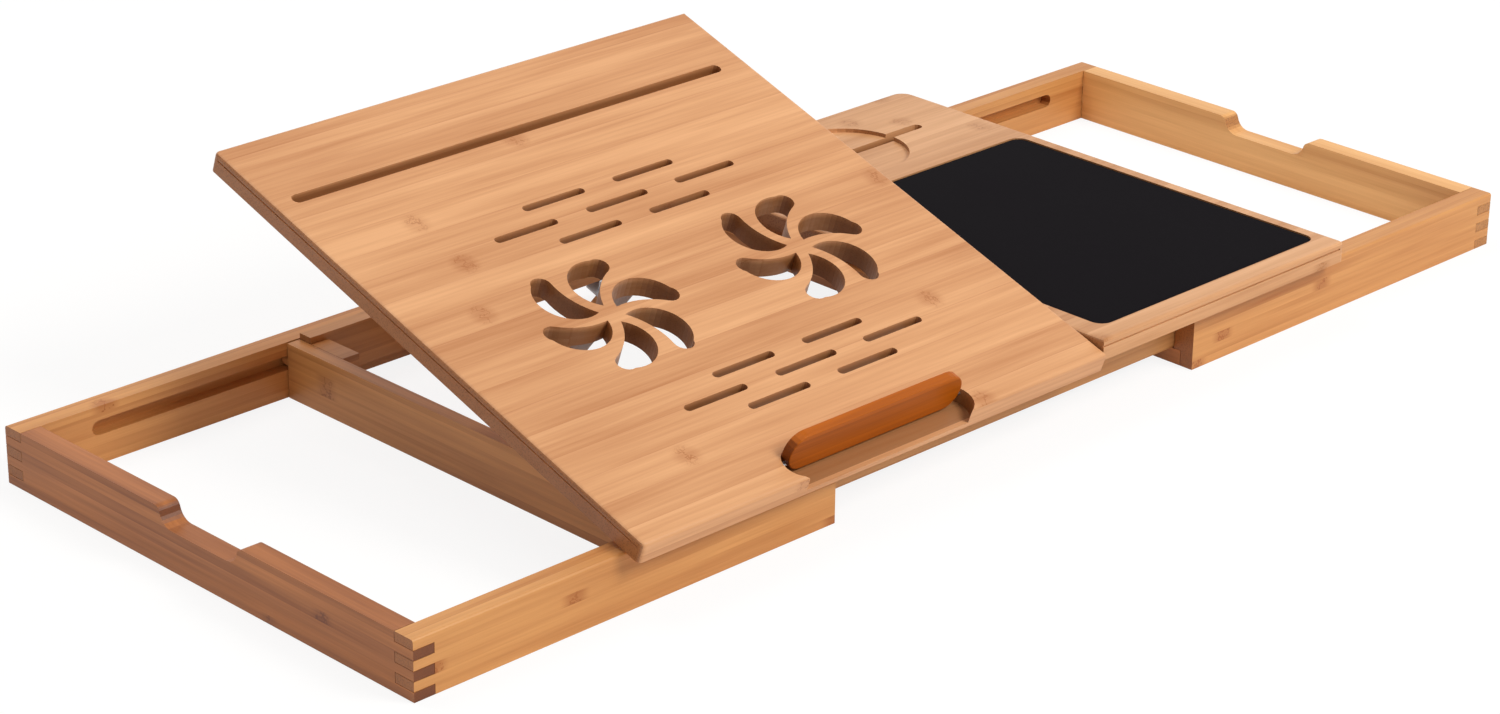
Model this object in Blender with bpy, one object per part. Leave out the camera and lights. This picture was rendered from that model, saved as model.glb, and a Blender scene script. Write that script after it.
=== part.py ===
"""Bamboo laptop tray that widens sideways, with a tilting board, a fixed panel and two sliding end frames."""

import math

import bmesh
import bpy
from mathutils import Matrix, Vector

MM = 0.001

# Fits between pieces
joint_gap = 0.3 * MM
slide_gap = 0.7 * MM
turn_gap = 0.3 * MM

# Boards
board_depth = 373.0 * MM
board_thick = 12.8 * MM
tilt_width = 364.5 * MM
fixed_width = 225.2 * MM
board_round = 2.2 * MM
board_corner = 3.0 * MM
panel_corner = 10.0 * MM
seat_clear = 3.7 * MM
quirk_height = 8.2 * MM
quirk_width = 1.0 * MM
quirk_depth = 0.8 * MM

# Tilt of the board
tilt_angle = math.radians(18.66)
pivot_reach = 21.5 * MM

# Sliding frames
frame_inset = 11.5 * MM
frame_height = 35.0 * MM
end_thick = 13.5 * MM
rail_thick = 14.3 * MM
rail_hold = 76.0 * MM
rail_round = 1.5 * MM
finger_count = 6
left_pull = 142.5 * MM
right_pull = 171.0 * MM
notch_length = 76.0 * MM
notch_deep = 11.0 * MM
notch_low_round = 9.5 * MM
notch_high_round = 5.0 * MM
closed_reach = 4.5 * MM
stop_gap = 0.5 * MM
groove_width = 9.0 * MM
groove_deep = 8.0 * MM
groove_height = 22.0 * MM
stretcher_width = 18.0 * MM
stretcher_thick = 9.5 * MM
stretcher_tongue = 5.0 * MM

# Centre tray
member_inset = 43.0 * MM
member_thick = 9.0 * MM
member_drop = 0.5 * MM
inner_rail_thick = 10.0 * MM
inner_rail_low = 10.5 * MM
block_thick = 12.3 * MM
block_length = 29.0 * MM
divider_thick = 10.0 * MM
divider_low = 20.0 * MM
beam_width = 24.0 * MM
beam_notch_count = 5
beam_notch_pitch = 14.0 * MM
beam_notch_deep = 2.5 * MM
beam_notch_width = 6.0 * MM
guide_pin_wide = 8.0 * MM
guide_pin_reach = 6.5 * MM
guide_pin_round = 1.0 * MM

# Fixed panel
pad_left_margin = 15.5 * MM
pad_right_margin = 9.2 * MM
pad_front_margin = 15.0 * MM
pad_back_margin = 113.0 * MM
pad_round = 8.0 * MM
pad_thick = 2.0 * MM
pad_sink = 0.6 * MM
ring_aside = 1.9 * MM
ring_back_margin = 55.0 * MM
ring_radius = 41.0 * MM
ring_deep = 2.6 * MM
phone_slot_left_margin = 40.0 * MM
phone_slot_right_margin = 40.7 * MM
phone_slot_width = 7.5 * MM
phone_slot_deep = 8.0 * MM

# Tilting board: places aside and back are measured from its middle
tablet_slot_left_margin = 13.0 * MM
tablet_slot_right_margin = 20.5 * MM
tablet_slot_back_margin = 56.0 * MM
tablet_slot_width = 7.5 * MM
tablet_slot_deep = 8.0 * MM
vent_length = 46.7 * MM
vent_width = 5.2 * MM
vent_aside = 7.15 * MM
vent_pitch = 69.6 * MM
rear_vents_back = 51.4 * MM
rear_vents_pitch = 16.6 * MM
front_vents_back = -111.8 * MM
front_vents_pitch = 14.9 * MM
fan_aside = 6.8 * MM
fan_pitch = 147.1 * MM
fan_back = -29.0 * MM
fan_turn = math.radians(5.5)
petal_count = 6
petal_root_across = 7.0 * MM
petal_root_rise = 3.0 * MM
petal_tip_across = 47.5 * MM
petal_tip_drop = 0.5 * MM
petal_heel_across = 38.0 * MM
petal_heel_drop = 9.0 * MM
petal_outer_bulge = 16.8 * MM
petal_end_bulge = 6.0 * MM
petal_inner_bulge = 3.3 * MM

# Stop bar
bar_aside = 4.15 * MM
bar_length = 135.5 * MM
bar_high = 23.0 * MM
bar_thick = 6.3 * MM
bar_front = 14.3 * MM
bar_top = 14.5 * MM
bar_pin_rise = 5.0 * MM
bar_pin_wide = 3.0 * MM
bar_pin_length = 13.5 * MM
bar_pin_hold = 2.65 * MM
bar_edge_round = 0.8 * MM
pocket_end_gap = 4.1 * MM
pocket_over = 0.9 * MM
sweep_gap = 0.35 * MM

# Hinges
hinge_length = 50.0 * MM
hinge_spread = 100.0 * MM
knuckle_wide = 4.0 * MM
knuckle_count = 5
hinge_pin_wide = 1.8 * MM
pin_gap = 0.1 * MM
leaf_thick = 1.0 * MM
leaf_back = 12.0 * MM
screw_head_wide = 4.4 * MM
screw_shank_wide = 2.0 * MM
screw_long = 7.0 * MM
screw_spread = 34.0 * MM
screw_back = 9.0 * MM

# Prop
prop_aside = -27.75 * MM
prop_pivot_along = 168.0 * MM
prop_pivot_drop = 6.0 * MM
prop_length = 85.0 * MM
prop_wide = 22.0 * MM
prop_thick = 8.0 * MM
prop_rest = math.radians(50.0)
foot_gap = 1.15 * MM
prop_pin_wide = 4.0 * MM
prop_side_gap = 0.5 * MM
bracket_thick = 1.2 * MM
bracket_long = 12.0 * MM
bracket_wing = 9.0 * MM

# Counts of facets
corner_steps = 6
petal_steps = 9
ring_steps = 48
pin_steps = 24

# Derived positions
fixed_seat_height = frame_height + seat_clear
tilt_seat_height = fixed_seat_height + joint_gap
member_height = frame_height - member_drop
rail_length = right_pull + member_inset + member_thick + rail_hold
half_board = (tilt_width + joint_gap + fixed_width) / 2
board_left = -half_board
board_right = half_board
board_front = -board_depth / 2
board_back = board_depth / 2
board_middle = board_left + tilt_width / 2
pivot_y = board_front + pivot_reach
fixed_left = board_left + tilt_width + joint_gap
bar_centre = board_middle + bar_aside
prop_centre = board_middle + prop_aside
bar_pin_far = bar_length / 2 + pocket_end_gap + bar_pin_hold
left_outer = board_left - left_pull
right_outer = board_right + right_pull
frame_front = board_front + frame_inset
frame_back = -frame_front
inner_front = frame_front + rail_thick + slide_gap
inner_back = -inner_front
left_member = board_left + member_inset
right_member = board_right - member_inset
inner_rail_high = fixed_seat_height - joint_gap
pin_inset = member_inset + member_thick / 2
pin_room = guide_pin_wide / 2 + stop_gap
groove_start = closed_reach + pin_inset - pin_room
groove_end = right_pull + pin_inset + pin_room

# Where the foot of the prop stands with the board up; the notched beam follows it
prop_head_y = pivot_y + prop_pivot_along * math.cos(tilt_angle) + prop_pivot_drop * math.sin(tilt_angle)
prop_head_rise = prop_pivot_along * math.sin(tilt_angle) - prop_pivot_drop * math.cos(tilt_angle)
prop_head_height = tilt_seat_height + prop_head_rise
foot_y = prop_head_y + prop_length * math.cos(prop_rest)
beam_high = prop_head_height - prop_length * math.sin(prop_rest) - prop_thick / 2 - foot_gap

# The origin is at the middle of the bounding box, on the ground
arris_reach = (pivot_reach - board_round) * math.cos(tilt_angle)
arris_rise = (board_thick - board_round) * math.sin(tilt_angle)
front_reach = pivot_y - arris_reach - arris_rise - board_round
origin_x = (left_outer + right_outer) / 2
origin_y = (front_reach + board_back) / 2

SLOTS = {}


def clear_scene():
    for thing in list(bpy.data.objects):
        bpy.data.objects.remove(thing, do_unlink=True)


def material_for(slot, colour, roughness, metallic):
    made = bpy.data.materials.new(slot)
    made.use_nodes = True
    shader = made.node_tree.nodes["Principled BSDF"]
    shader.inputs["Base Color"].default_value = (*colour, 1.0)
    shader.inputs["Roughness"].default_value = roughness
    shader.inputs["Metallic"].default_value = metallic
    SLOTS[slot] = made


def make_materials():
    material_for("bamboo_side", (0.56, 0.30, 0.12), 0.5, 0.0)
    material_for("bamboo_board", (0.62, 0.35, 0.15), 0.45, 0.0)
    material_for("pad_black", (0.012, 0.012, 0.014), 0.6, 0.0)
    material_for("steel", (0.6, 0.6, 0.62), 0.35, 1.0)


def object_from(name, mesh_build, slot):
    mesh = bpy.data.meshes.new(name)
    bmesh.ops.recalc_face_normals(mesh_build, faces=mesh_build.faces)
    mesh_build.to_mesh(mesh)
    mesh_build.free()
    made = bpy.data.objects.new(name, mesh)
    bpy.context.scene.collection.objects.link(made)
    mesh.materials.append(SLOTS[slot])
    return made


def add_block(build, low, high):
    """Add a box between two corners to a mesh under construction."""
    low = Vector(low)
    high = Vector(high)
    size = high - low
    middle = (low + high) / 2
    matrix = Matrix.Translation(middle) @ Matrix.Diagonal((*size, 1.0))
    bmesh.ops.create_cube(build, size=1.0, matrix=matrix)


def block(name, low, high, slot):
    build = bmesh.new()
    add_block(build, low, high)
    return object_from(name, build, slot)


def add_prism(build, outline, low, high):
    """Add a closed prism whose outline is in the ground plane."""
    bottom = [build.verts.new((x, y, low)) for x, y in outline]
    top = [build.verts.new((x, y, high)) for x, y in outline]
    build.faces.new(list(reversed(bottom)))
    build.faces.new(top)
    count = len(outline)
    for index in range(count):
        after = (index + 1) % count
        build.faces.new((bottom[index], bottom[after], top[after], top[index]))


def add_turned(build, profile, start, direction, steps):
    """Add a round solid: profile holds (distance along, radius) pairs from one end to the other."""
    axis = Vector(direction).normalized()
    turn = axis.to_track_quat("Z", "Y").to_matrix().to_4x4()
    place = Matrix.Translation(Vector(start)) @ turn
    rings = []
    for along, radius in profile:
        ring = []
        for index in range(steps):
            angle = math.tau * index / steps
            point = place @ Vector((radius * math.cos(angle), radius * math.sin(angle), along))
            ring.append(build.verts.new(point))
        rings.append(ring)
    build.faces.new(list(reversed(rings[0])))
    build.faces.new(rings[-1])
    for lower, upper in zip(rings, rings[1:]):
        for index in range(steps):
            after = (index + 1) % steps
            build.faces.new((lower[index], lower[after], upper[after], upper[index]))


def arc_points(centre, radius, first, last, steps):
    points = []
    for index in range(steps + 1):
        angle = first + (last - first) * index / steps
        points.append((centre[0] + radius * math.cos(angle), centre[1] + radius * math.sin(angle)))
    return points


def rounded_outline(low, high, radii):
    """Rectangle outline, anticlockwise from the front left corner, with a radius for each corner."""
    corners = (
        (low[0], low[1], 1, 1, math.pi),
        (high[0], low[1], -1, 1, 1.5 * math.pi),
        (high[0], high[1], -1, -1, 0.0),
        (low[0], high[1], 1, -1, 0.5 * math.pi),
    )
    outline = []
    for (x, y, to_x, to_y, first), radius in zip(corners, radii):
        if radius == 0:
            outline.append((x, y))
            continue
        centre = (x + to_x * radius, y + to_y * radius)
        outline += arc_points(centre, radius, first, first + math.pi / 2, corner_steps)
    return outline


def stadium(low, high, steps):
    """Outline of a slot with round ends that runs along X."""
    radius = (high[1] - low[1]) / 2
    middle = (low[1] + high[1]) / 2
    left = arc_points((low[0] + radius, middle), radius, math.pi / 2, 1.5 * math.pi, steps)
    right = arc_points((high[0] - radius, middle), radius, -math.pi / 2, math.pi / 2, steps)
    return left + right


def apply_all(thing):
    graph = bpy.context.evaluated_depsgraph_get()
    mesh = bpy.data.meshes.new_from_object(thing.evaluated_get(graph))
    old = thing.data
    thing.modifiers.clear()
    thing.data = mesh
    mesh.name = thing.name
    bpy.data.meshes.remove(old)


def cut(thing, build):
    """Take the closed shells of a mesh under construction out of a piece."""
    cutter = object_from("cutter", build, "bamboo_side")
    boolean = thing.modifiers.new("cut", "BOOLEAN")
    boolean.operation = "DIFFERENCE"
    boolean.solver = "EXACT"
    boolean.object = cutter
    apply_all(thing)
    bpy.data.objects.remove(cutter, do_unlink=True)


def soften(thing, width, segments):
    bevel = thing.modifiers.new("soften", "BEVEL")
    bevel.width = width
    bevel.segments = segments
    bevel.limit_method = "WEIGHT"
    apply_all(thing)


def mark_edges(thing, wanted):
    """Give the edges that the test accepts a full bevel weight."""
    mesh = thing.data
    weights = mesh.attributes.new("bevel_weight_edge", "FLOAT", "EDGE")
    for edge in mesh.edges:
        first = mesh.vertices[edge.vertices[0]].co
        last = mesh.vertices[edge.vertices[1]].co
        if wanted(first, last):
            weights.data[edge.index].value = 1.0


def same(value, other):
    return abs(value - other) < pin_gap / 10


def shade_round(thing):
    for face in thing.data.polygons:
        face.use_smooth = True
    thing.data.set_sharp_from_angle(angle=math.radians(35))


def cross_member(name, outer_x, inward):
    """Upright board between the sliding rails that closes one end of the centre tray."""
    inner_x = outer_x + inward * member_thick
    low = (min(outer_x, inner_x), inner_front, 0)
    high = (max(outer_x, inner_x), inner_back, member_height)
    member = block(name, low, high, "bamboo_side")
    middle = (outer_x + inner_x) / 2
    holes = bmesh.new()
    depth = guide_pin_reach + joint_gap
    for side in (-1, 1):
        start = (middle, side * (inner_back + joint_gap), groove_height)
        add_turned(
            holes,
            ((0, guide_pin_wide / 2 + joint_gap), (depth + joint_gap, guide_pin_wide / 2 + joint_gap)),
            start,
            (0, -side, 0),
            pin_steps,
        )
    cut(member, holes)
    return member


def guide_pin(name, middle, side):
    """Round pin let into the end of a cross member; its head runs in the groove of a sliding rail."""
    radius = guide_pin_wide / 2
    build = bmesh.new()
    tail = side * (inner_back - guide_pin_reach)
    length = guide_pin_reach * 2 + slide_gap
    profile = ((0, radius), (length - guide_pin_round, radius), (length, radius - guide_pin_round))
    add_turned(build, profile, (middle, tail, groove_height), (0, side, 0), pin_steps)
    pin = object_from(name, build, "bamboo_side")
    shade_round(pin)
    return pin


def corner_block(name, member_inner, inward, side):
    """Glue block in a corner between a cross member and an inner rail."""
    near = member_inner + inward * joint_gap
    far = near + inward * block_thick
    outer = side * (inner_back - inner_rail_thick - joint_gap)
    inner = outer - side * block_length
    low = (min(near, far), min(outer, inner), 0)
    high = (max(near, far), max(outer, inner), member_height)
    return block(name, low, high, "bamboo_side")


def inner_rail(name, side):
    """Long rail of the centre tray just inside the sliding rails."""
    outer = side * inner_back
    inner = outer - side * inner_rail_thick
    left = left_member + member_thick + joint_gap
    right = right_member - member_thick - joint_gap
    low = (left, min(outer, inner), inner_rail_low)
    high = (right, max(outer, inner), inner_rail_high)
    rail = block(name, low, high, "bamboo_side")
    if side < 0:
        seats = bmesh.new()
        for centre in hinge_centres():
            half = hinge_length / 2 + joint_gap
            floor = tilt_seat_height - turn_gap - leaf_thick - joint_gap
            add_block(
                seats,
                (centre - half, outer - slide_gap, floor),
                (centre + half, pivot_y + leaf_back + joint_gap, inner_rail_high + slide_gap),
            )
        cut(rail, seats)
        for centre in hinge_centres():
            for offset in (-screw_spread / 2, screw_spread / 2):
                pilot = bmesh.new()
                radius = screw_shank_wide / 2 + joint_gap
                top = (centre + offset, pivot_y + screw_back, tilt_seat_height)
                depth = leaf_thick + screw_long + joint_gap
                add_turned(pilot, ((0, radius), (depth, radius)), top, (0, 0, -1), pin_steps)
                cut(rail, pilot)
    return rail


def hinge_centres():
    return (bar_centre - hinge_spread, bar_centre + hinge_spread)


def divider():
    """Upright board under the joint between the two boards."""
    middle = fixed_left - joint_gap / 2
    end = inner_back - inner_rail_thick - joint_gap
    low = (middle - divider_thick / 2, -end, divider_low)
    high = (middle + divider_thick / 2, end, inner_rail_high)
    return block("board_divider", low, high, "bamboo_side")


def rack_beam():
    """Low beam under the tilting board with notches across its top for the foot of the prop."""
    end = inner_back - inner_rail_thick - joint_gap
    low = (prop_centre - beam_width / 2, -end, inner_rail_low)
    high = (prop_centre + beam_width / 2, end, beam_high)
    beam = block("rack_beam", low, high, "bamboo_side")
    notches = bmesh.new()
    radius = beam_notch_width / 2
    for index in range(beam_notch_count):
        y = foot_y - (index - 1) * beam_notch_pitch
        outline = []
        for angle_index in range(corner_steps + 1):
            angle = math.pi + math.pi * angle_index / corner_steps
            outline.append((y + radius * math.cos(angle), beam_high + beam_notch_deep * math.sin(angle)))
        outline.append((y + radius, beam_high + radius))
        outline.append((y - radius, beam_high + radius))
        left = [notches.verts.new((low[0] - radius, py, pz)) for py, pz in outline]
        right = [notches.verts.new((high[0] + radius, py, pz)) for py, pz in outline]
        notches.faces.new(left)
        notches.faces.new(list(reversed(right)))
        count = len(outline)
        for first in range(count):
            after = (first + 1) % count
            notches.faces.new((left[first], right[first], right[after], left[after]))
    cut(beam, notches)
    return beam


def board_blank(name, left, width, seat, radii):
    """Flat board with round corners, a rounded top arris and a fine bead line around the edge."""
    outline = rounded_outline((left, board_front), (left + width, board_back), radii)
    build = bmesh.new()
    add_prism(build, outline, seat, seat + board_thick)
    board = object_from(name, build, "bamboo_board")
    top = seat + board_thick
    mark_edges(board, lambda first, last: same(first.z, top) and same(last.z, top))
    soften(board, board_round, 4)
    return board


def bead_line(board, left, width, seat, radii, sides):
    """Cut the fine line that runs along the named sides under the rounded top arris."""
    low = seat + quirk_height
    high = low + quirk_width
    right = left + width
    reach = quirk_depth * 2
    lines = bmesh.new()
    ends = [radius + quirk_width if radius else -quirk_width for radius in radii]
    spans = {
        "front": ((left + ends[0], board_front - reach), (right - ends[1], board_front + quirk_depth)),
        "left": ((left - reach, board_front + ends[0]), (left + quirk_depth, board_back - ends[3])),
        "right": ((right - quirk_depth, board_front + ends[1]), (right + reach, board_back - ends[2])),
    }
    for side in sides:
        start, end = spans[side]
        add_block(lines, (*start, low), (*end, high))
    cut(board, lines)


def fixed_panel():
    """Right board, screwed down: recess for the pad, cup ring and phone slot."""
    radii = (0, board_corner, panel_corner, 0)
    panel = board_blank("fixed_panel", fixed_left, fixed_width, fixed_seat_height, radii)
    bead_line(panel, fixed_left, fixed_width, fixed_seat_height, radii, ("front", "right"))
    top = fixed_seat_height + board_thick
    over = top + board_round
    recess = bmesh.new()
    pad_low, pad_high = pad_box()
    gap = joint_gap
    outline = rounded_outline(
        (pad_low[0] - gap, pad_low[1] - gap), (pad_high[0] + gap, pad_high[1] + gap), [pad_round + gap] * 4
    )
    add_prism(recess, outline, top - pad_thick - pad_sink - gap, over)
    cut(panel, recess)
    ring = bmesh.new()
    centre = (fixed_left + fixed_width / 2 + ring_aside, board_back - ring_back_margin)
    add_turned(
        ring,
        ((0, ring_radius), (ring_deep + board_round, ring_radius)),
        (*centre, top - ring_deep),
        (0, 0, 1),
        ring_steps,
    )
    cut(panel, ring)
    slot = bmesh.new()
    half = phone_slot_width / 2
    start = (fixed_left + phone_slot_left_margin, centre[1] - half)
    end = (board_right - phone_slot_right_margin, centre[1] + half)
    add_prism(slot, stadium(start, end, corner_steps), top - phone_slot_deep, over)
    cut(panel, slot)
    return panel


def pad_box():
    low = (fixed_left + pad_left_margin, board_front + pad_front_margin)
    high = (board_right - pad_right_margin, board_back - pad_back_margin)
    return low, high


def mouse_pad():
    """Thin black pad laid in the recess of the fixed panel."""
    low, high = pad_box()
    top = fixed_seat_height + board_thick - pad_sink
    build = bmesh.new()
    add_prism(build, rounded_outline(low, high, [pad_round] * 4), top - pad_thick, top)
    return object_from("mouse_pad", build, "pad_black")


def finger_levels():
    pitch = frame_height / finger_count
    return [(index * pitch, (index + 1) * pitch) for index in range(finger_count)]


def slider_rail(name, outer_x, inward, side):
    """Side rail of a sliding frame with fingers at the corner and a blind guide groove inside."""
    outer_y = side * frame_back
    inner_y = outer_y - side * rail_thick
    end_x = outer_x + inward * rail_length
    low = (min(outer_x, end_x), min(outer_y, inner_y), 0)
    high = (max(outer_x, end_x), max(outer_y, inner_y), frame_height)
    rail = block(name, low, high, "bamboo_side")
    mark_edges(
        rail,
        lambda first, last: same(first.z, frame_height)
        and same(last.z, frame_height)
        and same(first.y, outer_y)
        and same(last.y, outer_y),
    )
    soften(rail, rail_round, 3)
    sockets = bmesh.new()
    outside = outer_x - inward * end_thick
    shoulder = outer_x + inward * (end_thick + joint_gap)
    for index, (bottom, top) in enumerate(finger_levels()):
        if index % 2 == 1:
            continue
        lower = bottom - joint_gap / 2 if index else -rail_thick
        start = (min(outside, shoulder), low[1] - rail_thick, lower)
        end = (max(outside, shoulder), high[1] + rail_thick, top + joint_gap / 2)
        add_block(sockets, start, end)
    cut(rail, sockets)
    cut(rail, guide_groove(outer_x, inward, side, inner_y))
    cut(rail, stretcher_mortise(outer_x, inward, side, inner_y))
    return rail


def join(thing, build):
    """Add a closed shell that overlaps a piece to it."""
    added = object_from("added", build, "bamboo_side")
    boolean = thing.modifiers.new("join", "BOOLEAN")
    boolean.operation = "UNION"
    boolean.solver = "EXACT"
    boolean.object = added
    apply_all(thing)
    bpy.data.objects.remove(added, do_unlink=True)


def guide_groove(outer_x, inward, side, inner_y):
    """Stadium cutter for the blind groove, laid into the inner face of a rail."""
    first = outer_x + inward * groove_start
    last = outer_x + inward * groove_end
    low = (min(first, last), groove_height - groove_width / 2)
    high = (max(first, last), groove_height + groove_width / 2)
    outline = stadium(low, high, corner_steps)
    floor = inner_y + side * groove_deep
    mouth = inner_y - side * slide_gap
    build = bmesh.new()
    deep = [build.verts.new((x, floor, z)) for x, z in outline]
    open_end = [build.verts.new((x, mouth, z)) for x, z in outline]
    build.faces.new(deep)
    build.faces.new(list(reversed(open_end)))
    count = len(outline)
    for index in range(count):
        after = (index + 1) % count
        build.faces.new((deep[after], deep[index], open_end[index], open_end[after]))
    return build


def stretcher_span(outer_x, inward):
    far = outer_x + inward * rail_length
    near = far - inward * stretcher_width
    return min(near, far), max(near, far)


def stretcher_mortise(outer_x, inward, side, inner_y):
    """Notch at the foot of a rail that takes the end of the stretcher."""
    low_x, high_x = stretcher_span(outer_x, inward)
    deep = inner_y + side * (stretcher_tongue + joint_gap)
    mouth = inner_y - side * slide_gap
    build = bmesh.new()
    low = (low_x - joint_gap, min(deep, mouth), -slide_gap)
    high = (high_x + joint_gap, max(deep, mouth), stretcher_thick + joint_gap)
    add_block(build, low, high)
    return build


def stretcher(name, outer_x, inward):
    """Low strip that ties the inner ends of the two rails and passes under the centre tray."""
    low_x, high_x = stretcher_span(outer_x, inward)
    end = frame_back - rail_thick + stretcher_tongue
    return block(name, (low_x, -end, 0), (high_x, end, stretcher_thick), "bamboo_side")


def notch_outline():
    """Handle notch seen along X: each end is a convex shoulder that runs into a hollow corner."""
    half = notch_length / 2
    floor = frame_height - notch_deep
    both = notch_low_round + notch_high_round
    sweep = math.acos(1 - min(1, notch_deep / both))
    inset = both * math.sin(sweep)
    over = frame_height + notch_high_round
    shoulder = arc_points(
        (-half, frame_height - notch_high_round),
        notch_high_round,
        math.pi / 2,
        math.pi / 2 - sweep,
        corner_steps,
    )
    hollow = arc_points(
        (-half + inset, floor + notch_low_round),
        notch_low_round,
        1.5 * math.pi - sweep,
        1.5 * math.pi,
        corner_steps,
    )
    left = [(-half, over)] + shoulder + hollow[1:]
    right = [(-y, z) for y, z in reversed(left)]
    return left + right


def end_panel(name, outer_x, inward):
    """Outer end of a sliding frame: fingers at both ends and the handle notch in the top edge."""
    inner_x = outer_x + inward * end_thick
    low_x = min(outer_x, inner_x)
    high_x = max(outer_x, inner_x)
    panel = block(name, (low_x, -frame_back, 0), (high_x, frame_back, frame_height), "bamboo_side")
    sockets = bmesh.new()
    for side in (-1, 1):
        for index, (bottom, top) in enumerate(finger_levels()):
            if index % 2 == 0:
                continue
            lower = bottom - joint_gap / 2
            upper = top + joint_gap / 2
            inner = side * (frame_back - rail_thick - joint_gap)
            outer = side * (frame_back + rail_thick)
            low = (low_x - end_thick, min(inner, outer), lower)
            high = (high_x + end_thick, max(inner, outer), upper)
            add_block(sockets, low, high)
    cut(panel, sockets)
    notch = bmesh.new()
    outline = notch_outline()
    left = [notch.verts.new((low_x - end_thick, y, z)) for y, z in outline]
    right = [notch.verts.new((high_x + end_thick, y, z)) for y, z in outline]
    notch.faces.new(left)
    notch.faces.new(list(reversed(right)))
    count = len(outline)
    for index in range(count):
        after = (index + 1) % count
        notch.faces.new((left[index], right[index], right[after], left[after]))
    cut(panel, notch)
    return panel


def sliding_frame(side_name, outer_x, inward):
    """End panel, two rails and a stretcher that slide as one."""
    return [
        end_panel(side_name + "_end_panel", outer_x, inward),
        slider_rail(side_name + "_front_rail", outer_x, inward, -1),
        slider_rail(side_name + "_back_rail", outer_x, inward, 1),
        stretcher(side_name + "_stretcher", outer_x, inward),
    ]


def bulged_arc(first, last, bulge, steps):
    """Arc between two points; the bulge is its height to the left of the chord."""
    dx = last[0] - first[0]
    dy = last[1] - first[1]
    chord = math.hypot(dx, dy)
    radius = (chord * chord / 4 + bulge * bulge) / (2 * abs(bulge))
    side = math.copysign(1, bulge)
    away = bulge - side * radius
    centre = (
        (first[0] + last[0]) / 2 - dy / chord * away,
        (first[1] + last[1]) / 2 + dx / chord * away,
    )
    start = math.atan2(first[1] - centre[1], first[0] - centre[0])
    end = math.atan2(last[1] - centre[1], last[0] - centre[0])
    if side > 0 and end > start:
        end -= math.tau
    if side < 0 and end < start:
        end += math.tau
    return arc_points(centre, radius, start, end, steps)


def petal_outline(centre, turn):
    """One curved opening of a fan: a round back, a blunt tip and a flatter inner edge."""
    root = (petal_root_across, petal_root_rise)
    tip = (petal_tip_across, -petal_tip_drop)
    heel = (petal_heel_across, -petal_heel_drop)
    points = bulged_arc(root, tip, petal_outer_bulge, petal_steps * 2)[:-1]
    points += bulged_arc(tip, heel, petal_end_bulge, petal_steps)[:-1]
    points += bulged_arc(heel, root, -petal_inner_bulge, petal_steps)[:-1]
    cosine = math.cos(turn)
    sine = math.sin(turn)
    return [
        (centre[0] + x * cosine - y * sine, centre[1] + x * sine + y * cosine) for x, y in points
    ]


def pocket_sizes():
    """Axis of the stop bar and the room that its foot sweeps, measured from the board's edges."""
    axis_along = bar_front + bar_thick / 2
    axis_drop = bar_high - bar_top - bar_pin_rise
    sweep = math.hypot(bar_pin_rise, bar_thick / 2) + sweep_gap
    return axis_along, axis_drop, axis_along + sweep, axis_drop + sweep


def tilting_board():
    """Left board: tablet slot, vents, two fans, pocket of the stop bar and seats of the hinges."""
    radii = (board_corner, 0, 0, board_corner)
    board = board_blank("tilting_board", board_left, tilt_width, tilt_seat_height, radii)
    bead_line(board, board_left, tilt_width, tilt_seat_height, radii, ("left",))
    top = tilt_seat_height + board_thick
    over = top + board_round
    under = tilt_seat_height - board_round
    slot = bmesh.new()
    along = board_back - tablet_slot_back_margin
    half = tablet_slot_width / 2
    start = (board_left + tablet_slot_left_margin, along - half)
    end = (board_left + tilt_width - tablet_slot_right_margin, along + half)
    add_prism(slot, stadium(start, end, corner_steps), top - tablet_slot_deep, over)
    cut(board, slot)
    cut(board, vents(under, over))
    cut(board, fans(under, over))
    cut_pocket(board, top, over)
    seat_hinges(board, under)
    pilot_bracket(board)
    return board


def vents(under, over):
    """Two groups of slots, each in three rows of two, three and two."""
    build = bmesh.new()
    groups = ((rear_vents_back, rear_vents_pitch), (front_vents_back, front_vents_pitch))
    for back, row_pitch in groups:
        for row in (-1, 0, 1):
            count = 3 if row == 0 else 2
            y = back + row * row_pitch
            for index in range(count):
                x = board_middle + vent_aside + (index - (count - 1) / 2) * vent_pitch
                low = (x - vent_length / 2, y - vent_width / 2)
                high = (x + vent_length / 2, y + vent_width / 2)
                add_prism(build, stadium(low, high, corner_steps), under, over)
    return build


def fans(under, over):
    build = bmesh.new()
    for side in (-0.5, 0.5):
        centre = (board_middle + fan_aside + side * fan_pitch, fan_back)
        for index in range(petal_count):
            turn = fan_turn + math.tau * index / petal_count
            add_prism(build, petal_outline(centre, turn), under, over)
    return build


def cut_pocket(board, top, over):
    """Pocket with round ends, open to the front, and the holes of the stop bar's pins."""
    axis_along, axis_drop, back, deep = pocket_sizes()
    half = bar_length / 2 + pocket_end_gap
    pocket = bmesh.new()
    low = (bar_centre - half, board_front - pocket_over)
    high = (bar_centre + half, board_front + back)
    add_prism(pocket, stadium(low, high, corner_steps * 2), top - deep, over)
    cut(board, pocket)
    holes = bmesh.new()
    radius = bar_pin_wide / 2 + pin_gap
    for side in (-1, 1):
        start = (bar_centre + side * half / 2, board_front + axis_along, top - axis_drop)
        length = bar_pin_far + joint_gap - half / 2
        add_turned(holes, ((0, radius), (length, radius)), start, (side, 0, 0), pin_steps)
    cut(board, holes)


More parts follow.
